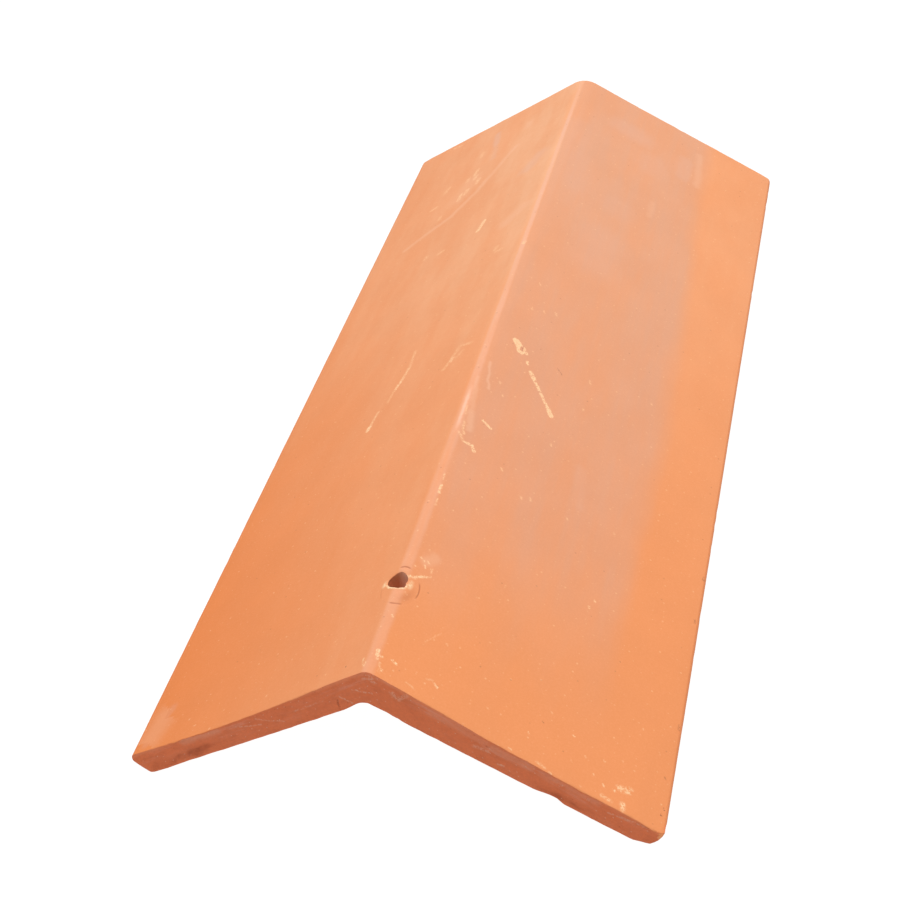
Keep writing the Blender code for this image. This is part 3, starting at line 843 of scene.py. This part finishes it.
class Graph:
    """Short calls for wiring the nodes of one tree."""

    def __init__(self, tree):
        self.tree = tree

    def feed(self, socket, value):
        if isinstance(value, bpy.types.NodeSocket):
            self.tree.links.new(value, socket)
        else:
            socket.default_value = value

    def node(self, kind, inputs=None, **settings):
        node = self.tree.nodes.new(kind)
        for name, value in settings.items():
            setattr(node, name, value)
        for key, value in (inputs or {}).items():
            self.feed(node.inputs[key], value)
        return node

    def math(self, operation, *values, clamp=False):
        node = self.node("ShaderNodeMath", operation=operation, use_clamp=clamp)
        for socket, value in zip(node.inputs, values):
            self.feed(socket, value)
        return node.outputs[0]

    def product(self, *values):
        total = values[0]
        for value in values[1:]:
            total = self.math("MULTIPLY", total, value)
        return total

    def less(self, first, second):
        return self.math("SUBTRACT", first, second)

    def gap(self, first, second):
        """Distance between two numbers."""
        return self.math("ABSOLUTE", self.less(first, second))

    def vector(self, operation, *values, output="Vector"):
        node = self.node("ShaderNodeVectorMath", operation=operation)
        for socket, value in zip(node.inputs, values):
            self.feed(socket, value)
        return node.outputs[output]

    def rise(self, value, start, end, low=0.0, high=1.0):
        """Smooth change from low at start to high at end."""
        node = self.node("ShaderNodeMapRange", interpolation_type="SMOOTHSTEP")
        for key, number in (("Value", value), ("From Min", start), ("From Max", end),
                            ("To Min", low), ("To Max", high)):
            self.feed(node.inputs[key], number)
        return node.outputs["Result"]

    def blend(self, share, first, second, mode="MIX"):
        node = self.node("ShaderNodeMix", data_type="RGBA", blend_type=mode)
        self.feed(node.inputs["Factor"], share)
        colours = [socket for socket in node.inputs if socket.type == "RGBA"]
        self.feed(colours[0], first)
        self.feed(colours[1], second)
        return next(socket for socket in node.outputs if socket.type == "RGBA")

    def toned(self, colour, tone):
        """Colour made lighter or darker."""
        grey = self.node("ShaderNodeCombineColor", {0: tone, 1: tone, 2: tone}).outputs[0]
        return self.blend(1.0, colour, grey, "MULTIPLY")

    def noise(self, position, size, detail=2.0, roughness=0.5, stretch=(1.0, 1.0, 1.0)):
        """Noise with features of a size in millimetres, drawn out by stretch along each axis."""
        return self.noise_node(position, size, detail, roughness, stretch).outputs["Fac"]

    def noise_node(self, position, size, detail, roughness, stretch=(1.0, 1.0, 1.0)):
        scale = tuple(1.0 / (size * part) for part in stretch)
        return self.node("ShaderNodeTexNoise", {
            "Vector": self.vector("MULTIPLY", position, scale),
            "Scale": 1.0, "Detail": detail, "Roughness": roughness,
        })

    def specks(self, flat, spacing, size, rarity):
        """Round specks on a flat place, one for each cell of the spacing, fewer as rarity nears 1."""
        cells = self.node("ShaderNodeTexVoronoi", voronoi_dimensions="2D")
        self.feed(cells.inputs["Vector"], self.vector("MULTIPLY", flat, (1.0 / spacing,) * 3))
        self.feed(cells.inputs["Scale"], 1.0)
        lottery = self.node("ShaderNodeSeparateColor", {0: cells.outputs["Color"]}).outputs
        dot = self.rise(cells.outputs["Distance"], 0.5 * size / spacing, size / spacing, 1.0, 0.0)
        return self.product(dot, self.rise(lottery[0], rarity, 1.0))

    def with_specks(self, colour, flat, layers):
        """Colour under layers of specks: spacing, size, rarity, strength and colour of each."""
        for spacing, size, rarity, strength, tint in layers:
            share = self.product(self.specks(flat, spacing, size, rarity), strength)
            colour = self.blend(share, colour, tint)
        return colour

    def object_place(self):
        """Place on the tile in millimetres: across, along from the near end, up."""
        origin = self.node("ShaderNodeTexCoord").outputs["Object"]
        return self.vector("MULTIPLY_ADD", origin, (1 / MM,) * 3, (0.0, -NEAR_CREST_Y, 0.0))

    def scatter(self, position, size, throw):
        """Random offset of up to half of throw along each axis, in lumps of a size."""
        noise = self.noise_node(position, size, 2.0, 0.6).outputs["Color"]
        centred = self.vector("SUBTRACT", noise, (0.5, 0.5, 0.5))
        return self.vector("MULTIPLY", centred, throw)

    def split(self, vector):
        return self.node("ShaderNodeSeparateXYZ", {0: vector}).outputs[:]

    def attribute(self, name, output="Fac"):
        return self.node("ShaderNodeAttribute", attribute_name=name).outputs[output]


# Colours of the clay, as light reflected

ORANGE_LEFT = (0.770, 0.234, 0.067, 1.0)
ORANGE_RIGHT = (0.805, 0.284, 0.104, 1.0)
WARM_DUST = (0.820, 0.430, 0.243, 1.0)
LILAC_BLOOM = (0.610, 0.355, 0.262, 1.0)
# rubbed clay on the crest, lightened further as a painted highlight
CREST_RUB_HIGHLIGHT = (0.800, 0.440, 0.310, 1.0)
CREAM = (0.930, 0.575, 0.320, 1.0)
# painted highlight: a bright line along the crest
CREST_HIGHLIGHT = (0.960, 0.600, 0.450, 1.0)
PALE = (0.850, 0.490, 0.320, 1.0)
LILAC = (0.700, 0.440, 0.350, 1.0)
DIRT = (0.330, 0.110, 0.050, 1.0)
# painted shade along the nose of each outer edge
NOSE_SHADE = (0.520, 0.130, 0.045, 1.0)
# painted shade in the ring's groove and just inside the ring
RING_SHADE = (0.400, 0.110, 0.045, 1.0)
CRUMB = (0.960, 0.740, 0.450, 1.0)
CUT_CLAY = (0.640, 0.155, 0.058, 1.0)
# painted highlight just under the top arris of a cut
CUT_EDGE_HIGHLIGHT = (0.720, 0.240, 0.115, 1.0)
CUT_SMEAR = (0.640, 0.240, 0.150, 1.0)
CUT_DIRT = (0.400, 0.085, 0.030, 1.0)
CUT_SCRATCH = (0.680, 0.360, 0.240, 1.0)
CUT_STAIN = (0.290, 0.050, 0.014, 1.0)
# painted light and painted shade on the wall of the nail hole
BORE_LIT_CLAY = (0.820, 0.460, 0.310, 1.0)
BORE_SHADED_CLAY = (0.560, 0.200, 0.090, 1.0)
UNDER_CLAY = (0.640, 0.250, 0.120, 1.0)
UNDER_DUST = (0.660, 0.430, 0.320, 1.0)

# Patterns of noise: size, detail, roughness, and how far it is drawn out along each axis
DUST_GRAIN = (3.4, 3.0, 0.6)
DUST_PATCHES = (17.0, 3.0, 0.6, (1.0, 4.5, 1.0))
BLOOM_STREAKS = (3.2, 3.0, 0.6, (1.0, 26.0, 1.0))
BLOOM_EDGE = (60.0, 1.0)
CREST_WEAR = (9.0, 2.0, 0.5, (1.0, 3.0, 1.0))
MOTTLE = (26.0, 4.0, 0.55)
FINE_GRAIN = (0.8, 3.0, 0.75)
COARSE_GRAIN = (1.1, 3.0, 0.65)
CUT_BLOTCHES = (5.0, 4.0, 0.65, (2.0, 1.0, 1.0))
CUT_LINES = (0.9, 4.0, 0.7, (9.0, 1.0, 1.0))
CUT_HAZE = (4.0, 3.0, 0.6, (4.0, 1.0, 1.0))
CRUMB_GRAIN = (0.7, 2.0, 0.6)
STROKE_GAPS = (0.75, 3.0, 0.7)
BORE_LINES = (0.7, 3.0, 0.6, (1.0, 1.0, 14.0))
PORES = (0.55, 3.0, 0.6)

# Layers of scattered specks: spacing, size, rarity, strength and colour
CLAY_SPECKS = (
    (9.0, 0.45, 0.35, 0.42, CREAM),
    (3.7, 0.34, 0.45, 0.24, CREAM),
    (11.0, 0.40, 0.60, 0.35, DIRT),
)
CUT_SPECKS = (
    (3.0, 0.32, 0.45, 0.55, CUT_SCRATCH),
    (4.1, 0.40, 0.60, 0.50, CUT_DIRT),
)

# How far the outlines of strokes wander: size of the lumps, throw along each axis
SOFT_WANDER = (5.0, (2.6, 2.6, 0.0))
CRISP_WANDER = (1.5, (1.2, 1.2, 0.0))
SMEAR_SOFTNESS = (1.6, 2.1)      # a crisp stroke loses its gaps between these

# The crest's band, partly rubbed clay and partly painted highlight: its middle and half width at the
# near end and at the far one
RUB_HIGHLIGHT_LENGTH = 420.0
RUB_HIGHLIGHT_CENTRE = (0.4, -1.35)
RUB_HIGHLIGHT_HALF_WIDTH = (1.6, 0.95)
CREST_HIGHLIGHT_S = 150.0              # a painted highlight on the crest is brightest here

BLOOM_STRENGTH = 0.38
CLAY_GLOSS = 0.25
BUMP_STRENGTH = 0.5
BUMP_DISTANCE = 0.6 * MM
PORE_DEPTH = (0.008, 0.28)       # on the outer faces and on the cuts
GRAIN_DEPTH = (0.005, 0.25)


def stroke_share(graph, name, spot, wander_size, wander):
    """Share of the nearest stroke at each place, from the marks that the mesh carries."""
    place = graph.attribute(name + "_place", "Vector")
    size = graph.attribute(name + "_size", "Vector")
    place = graph.vector("ADD", place, graph.scatter(spot, wander_size, wander))
    off, along, length = graph.split(place)
    half_width, softness, strength = graph.split(size)
    before = graph.less(0.0, along)
    after = graph.less(along, length)
    past = graph.math("MAXIMUM", graph.math("MAXIMUM", before, after), 0.0)
    gap = graph.math("SQRT", graph.math("MULTIPLY_ADD", off, off, graph.product(past, past)))
    share = graph.rise(gap, half_width, graph.math("ADD", half_width, softness), 1.0, 0.0)
    return graph.product(share, strength)


def dusty_clay(graph, spot):
    """Colour of the outer faces: clay under dust, bloom over the right wing, and a crest band that is
    partly rubbed clay and partly painted highlight, with a brighter painted highlight round s 150.
    """
    x, s, _ = graph.split(spot)
    across = graph.math("ABSOLUTE", x)
    side = graph.rise(x, -1.5, 1.5)
    dust_grain = graph.noise(spot, *DUST_GRAIN)
    patches = graph.noise(spot, *DUST_PATCHES)
    streaks = graph.noise(spot, *BLOOM_STREAKS)
    clay = graph.blend(side, ORANGE_LEFT, ORANGE_RIGHT)

    inward = graph.math("MULTIPLY_ADD", across, -0.0036, 0.35)
    dust_left = graph.math("ADD", graph.rise(s, 30.0, 380.0, 0.0, 0.47), inward)
    dust_right = graph.rise(s, 40.0, 400.0, 0.03, 0.34)
    dust = graph.node("ShaderNodeMix", {0: side, 2: dust_left, 3: dust_right}).outputs[0]
    dust = graph.product(dust, graph.rise(dust_grain, 0.25, 0.75, 0.95, 1.05),
                         graph.rise(patches, 0.3, 0.7, 0.82, 1.18))
    clay = graph.blend(dust, clay, WARM_DUST)

    outer_line = graph.math("MULTIPLY_ADD", graph.noise(spot, *BLOOM_EDGE), 8.0,
                            graph.rise(s, 250.0, 430.0, 70.5, 64.5))
    centre = graph.rise(s, 0.0, RUB_HIGHLIGHT_LENGTH, *RUB_HIGHLIGHT_CENTRE)
    in_wing = graph.product(graph.rise(graph.less(x, centre), 0.0, 2.2),
                            graph.rise(graph.less(outer_line, x), -5.0, 5.0))
    from_near = graph.rise(graph.math("MULTIPLY_ADD", patches, 40.0, s), 30.0, 145.0)
    thick = graph.rise(patches, 0.32, 0.66, 0.80, 1.15)
    drawn = graph.rise(streaks, 0.3, 0.7, 0.92, 1.08)
    bloom = graph.product(in_wing, from_near, thick, drawn, BLOOM_STRENGTH)
    clay = graph.blend(bloom, clay, LILAC_BLOOM)

    # Band along the crest: partly rubbed clay, partly painted highlight; worn sets how strongly it
    # shows
    half = graph.rise(s, 0.0, RUB_HIGHLIGHT_LENGTH, *RUB_HIGHLIGHT_HALF_WIDTH)
    off = graph.math("MULTIPLY_ADD", graph.less(dust_grain, 0.5), 0.9, graph.gap(x, centre))
    softness = graph.rise(s, 60.0, 300.0, 1.5, 0.6)
    rub_highlight = graph.rise(graph.less(off, half), -0.5, softness, 1.0, 0.0)
    worn = graph.rise(graph.noise(spot, *CREST_WEAR), 0.25, 0.7, 0.7, 1.1)
    worn = graph.product(worn, graph.rise(s, 60.0, 380.0, 0.36, 0.62),
                         graph.rise(s, 400.0, 448.0, 1.0, 0.45))
    clay = graph.blend(graph.math("MULTIPLY", rub_highlight, worn, clamp=True), clay, CREST_RUB_HIGHLIGHT)
    # Painted highlight: a bright narrow line on the crest round s 150
    from_crest_highlight = graph.gap(s, CREST_HIGHLIGHT_S)
    crest_highlight = graph.product(graph.rise(from_crest_highlight, 6.0, 18.0, 0.52, 0.0),
                          graph.rise(off, 0.1, 1.2, 1.0, 0.0))
    return graph.blend(crest_highlight, clay, CREST_HIGHLIGHT)


def ring_line(graph, spot):
    """Thin line of painted shade in the groove of the ring pressed round the nail hole."""
    centred = graph.vector("SUBTRACT", spot, (RING_X, RING_S, 0.0))
    shape = (1.0 / RING_HALF_WIDTH, 1.0 / RING_HALF_LENGTH, 0.0)
    reach = graph.vector("LENGTH", graph.vector("MULTIPLY", centred, shape), output="Value")
    return graph.rise(graph.gap(reach, 1.0), *RING_LINE, 1.0, 0.0)


def speckled(graph, clay, spot):
    """Clay with mottling, fine grain and scattered light and dark specks."""
    mottle = graph.noise(spot, *MOTTLE)
    grain = graph.noise(spot, *FINE_GRAIN)
    tone = graph.product(graph.rise(mottle, 0.3, 0.7, 0.985, 1.015),
                         graph.rise(grain, 0.3, 0.7, 0.987, 1.013))
    clay = graph.toned(clay, tone)
    clay = graph.blend(graph.rise(grain, 0.45, 0.75, 0.0, 0.07), clay, PALE)
    return graph.with_specks(clay, spot, CLAY_SPECKS)


def cut_clay(graph, spot, grain):
    """Colour of the cut ends, smeared along each wing, with a painted highlight just under the top
    arris.
    """
    x, s, z = graph.split(spot)
    across = graph.math("ABSOLUTE", x)
    under = graph.math("MULTIPLY_ADD", across, tan(PITCH), z)
    laid = graph.node("ShaderNodeCombineXYZ", {0: x, 1: s, 2: under}).outputs[0]
    flat = graph.node("ShaderNodeCombineXYZ", {0: x, 1: under}).outputs[0]
    blotches = graph.noise(laid, *CUT_BLOTCHES)
    lines = graph.noise(laid, *CUT_LINES)
    haze = graph.noise(laid, *CUT_HAZE)
    deep = graph.less(CREST_Z - FOOT_DROP, under)
    cut = graph.blend(graph.rise(blotches, 0.45, 0.75, 0.0, 0.30), CUT_CLAY, CUT_DIRT)
    smear = graph.product(graph.rise(haze, 0.45, 0.72), graph.rise(lines, 0.3, 0.7),
                          graph.rise(deep, 4.0, 8.0, 0.7, 0.2))
    cut = graph.blend(smear, cut, CUT_SMEAR)
    cut = graph.blend(graph.rise(lines, 0.62, 0.78, 0.0, 0.22), cut, CUT_SCRATCH)
    # Painted highlight on the cut just under its top arris
    cut = graph.blend(graph.rise(deep, 0.6, 2.4, 0.45, 0.0), cut, CUT_EDGE_HIGHLIGHT)
    ragged = graph.rise(blotches, 0.35, 0.65, 0.80, 1.60)
    stain = graph.math("MULTIPLY", graph.attribute("stain"), ragged, clamp=True)
    cut = graph.blend(stain, cut, CUT_STAIN)
    cut = graph.with_specks(cut, flat, CUT_SPECKS)
    return graph.toned(cut, graph.rise(grain, 0.3, 0.7, 0.95, 1.05))


def clay_material():
    material, shader = new_material("fired_clay_worn", Metallic=0.0, Specular_IOR_Level=CLAY_GLOSS)
    graph = Graph(material.node_tree)
    spot = graph.object_place()
    x, _, _ = graph.split(spot)
    grain = graph.noise(spot, *COARSE_GRAIN)
    face = graph.math("MULTIPLY_ADD", graph.less(grain, 0.5), 0.8, graph.attribute("end_face"))
    face = graph.rise(face, 0.35, 0.65)

    clay = speckled(graph, dusty_clay(graph, spot), spot)
    soft_tint = graph.blend(graph.attribute("soft_second"), PALE, LILAC)
    clay = graph.blend(stroke_share(graph, "soft", spot, *SOFT_WANDER), clay, soft_tint)
    # Painted shade where each outer edge rounds over its nose
    nose = graph.rise(graph.math("ABSOLUTE", x), 100.5, 101.4, 0.0, 0.35)
    clay = graph.blend(nose, clay, NOSE_SHADE)
    # Painted shade inside the ring round the nail hole
    clay = graph.blend(graph.attribute("stain"), clay, RING_SHADE)
    # Painted shade along the groove of the ring
    ring = graph.product(graph.attribute("ring"), ring_line(graph, spot), 0.7)
    clay = graph.blend(ring, clay, RING_SHADE)
    thick = graph.rise(graph.noise(spot, *CRUMB_GRAIN), 0.35, 0.6, 0.45, 1.1)
    loose = graph.math("MULTIPLY", graph.attribute("crumb"), thick, clamp=True)
    clay = graph.blend(loose, clay, CRUMB)
    patches = graph.noise(spot, *DUST_PATCHES)
    under = graph.blend(graph.rise(patches, 0.35, 0.7, 0.05, 0.45), UNDER_CLAY, UNDER_DUST)
    clay = graph.blend(graph.attribute("underside"), clay, under)
    clay = graph.blend(face, clay, cut_clay(graph, spot, grain))

    broken = graph.noise(spot, *STROKE_GAPS)
    share = stroke_share(graph, "crisp", spot, *CRISP_WANDER)
    _, softness, _ = graph.split(graph.attribute("crisp_size", "Vector"))
    least = graph.rise(softness, *SMEAR_SOFTNESS, 0.10, 0.80)
    most = graph.rise(softness, *SMEAR_SOFTNESS, 1.25, 1.00)
    share = graph.math("MULTIPLY", share, graph.rise(broken, 0.42, 0.58, least, most), clamp=True)
    light = graph.blend(face, CREAM, CUT_SCRATCH)
    dark = graph.blend(face, DIRT, CUT_STAIN)
    clay = graph.blend(share, clay, graph.blend(graph.attribute("crisp_second"), light, dark))

    # Wall of the nail hole: painted shade on its left side and painted light on its right, with a
    # ragged line between
    lines = graph.noise(spot, *BORE_LINES)
    wall = graph.rise(graph.math("MULTIPLY_ADD", lines, 3.0, x), -1.5, 2.6)
    wall = graph.blend(wall, BORE_SHADED_CLAY, BORE_LIT_CLAY)
    clay = graph.blend(graph.rise(graph.attribute("bore"), 0.0, 0.3), clay, wall)

    graph.feed(shader.inputs["Base Color"], clay)
    graph.feed(shader.inputs["Roughness"], graph.rise(grain, 0.2, 0.8, 0.80, 0.95))

    pores = graph.noise(spot, *PORES)
    fine = graph.product(graph.less(pores, 0.5), graph.rise(face, 0.0, 1.0, *PORE_DEPTH))
    coarse = graph.product(graph.less(grain, 0.5), graph.rise(face, 0.0, 1.0, *GRAIN_DEPTH))
    bump = graph.node("ShaderNodeBump", {
        "Strength": BUMP_STRENGTH, "Distance": BUMP_DISTANCE, "Height": graph.math("ADD", fine, coarse),
    })
    graph.feed(shader.inputs["Normal"], bump.outputs[0])
    return material


# Studio

FLOOR_SIZE = 8.0
FLOOR_COLOUR = (0.08, 0.08, 0.08, 1.0)
FLOOR_GLOW = 0.985
WHITE = (1.0, 1.0, 1.0, 1.0)
SKY_LIGHT = 0.455
LAMP_SIZE = 2.6
LAMP_PLACE = (0.12, 0.45, 2.2)
LAMP_POWER = 53.5

CAMERA_PLACE = (0.16273, -0.60034, 0.48169)
CAMERA_DOWN = 34.69
CAMERA_LEFT = 18.83
CAMERA_ROLL = -7.89
CAMERA_LENS = 66.38
CAMERA_SENSOR = 36.0
CAMERA_SHIFT = (0.0358, -0.1192)


def floor_material():
    material, _ = new_material(
        "pale_floor", Base_Color=FLOOR_COLOUR, Roughness=1.0, Specular_IOR_Level=0.0,
        Emission_Color=WHITE, Emission_Strength=FLOOR_GLOW,
    )
    return material


def placed(name, data):
    """New object in the scene."""
    item = bpy.data.objects.new(name, data)
    bpy.context.scene.collection.objects.link(item)
    return item


def build_studio():
    half = FLOOR_SIZE / 2
    corners = [(-half, -half, 0), (half, -half, 0), (half, half, 0), (-half, half, 0)]
    mesh = bpy.data.meshes.new("studio_floor")
    mesh.from_pydata(corners, [], [(0, 1, 2, 3)])
    mesh.materials.append(floor_material())
    placed("studio_floor", mesh)

    world = bpy.data.worlds.new("studio_sky")
    world.use_nodes = True
    sky = world.node_tree.nodes["Background"]
    sky.inputs["Color"].default_value = WHITE
    sky.inputs["Strength"].default_value = SKY_LIGHT
    bpy.context.scene.world = world

    light = bpy.data.lights.new("soft_overhead", "AREA")
    light.size = LAMP_SIZE
    light.energy = LAMP_POWER
    lamp = placed("soft_overhead", light)
    lamp.location = LAMP_PLACE
    aim = -Vector(LAMP_PLACE)
    lamp.rotation_euler = aim.to_track_quat("-Z", "Y").to_euler()


def build_camera():
    data = bpy.data.cameras.new("photo_camera")
    data.sensor_width = CAMERA_SENSOR
    data.lens = CAMERA_LENS
    data.shift_x, data.shift_y = CAMERA_SHIFT
    camera = placed("photo_camera", data)
    turn = (
        Matrix.Rotation(radians(CAMERA_LEFT), 4, "Z")
        @ Matrix.Rotation(radians(90 - CAMERA_DOWN), 4, "X")
        @ Matrix.Rotation(radians(CAMERA_ROLL), 4, "Z")
    )
    camera.matrix_world = Matrix.Translation(CAMERA_PLACE) @ turn
    bpy.context.scene.camera = camera


def build_tile():
    mesh = clay_mesh("ridge_tile_clay")
    mesh.materials.append(clay_material())
    tile = placed("ridge_tile_clay", mesh)
    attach(tile, "root")
    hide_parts("ridge_tile")


bpy.context.scene.view_settings.view_transform = "Standard"
build_tile()
build_studio()
build_camera()
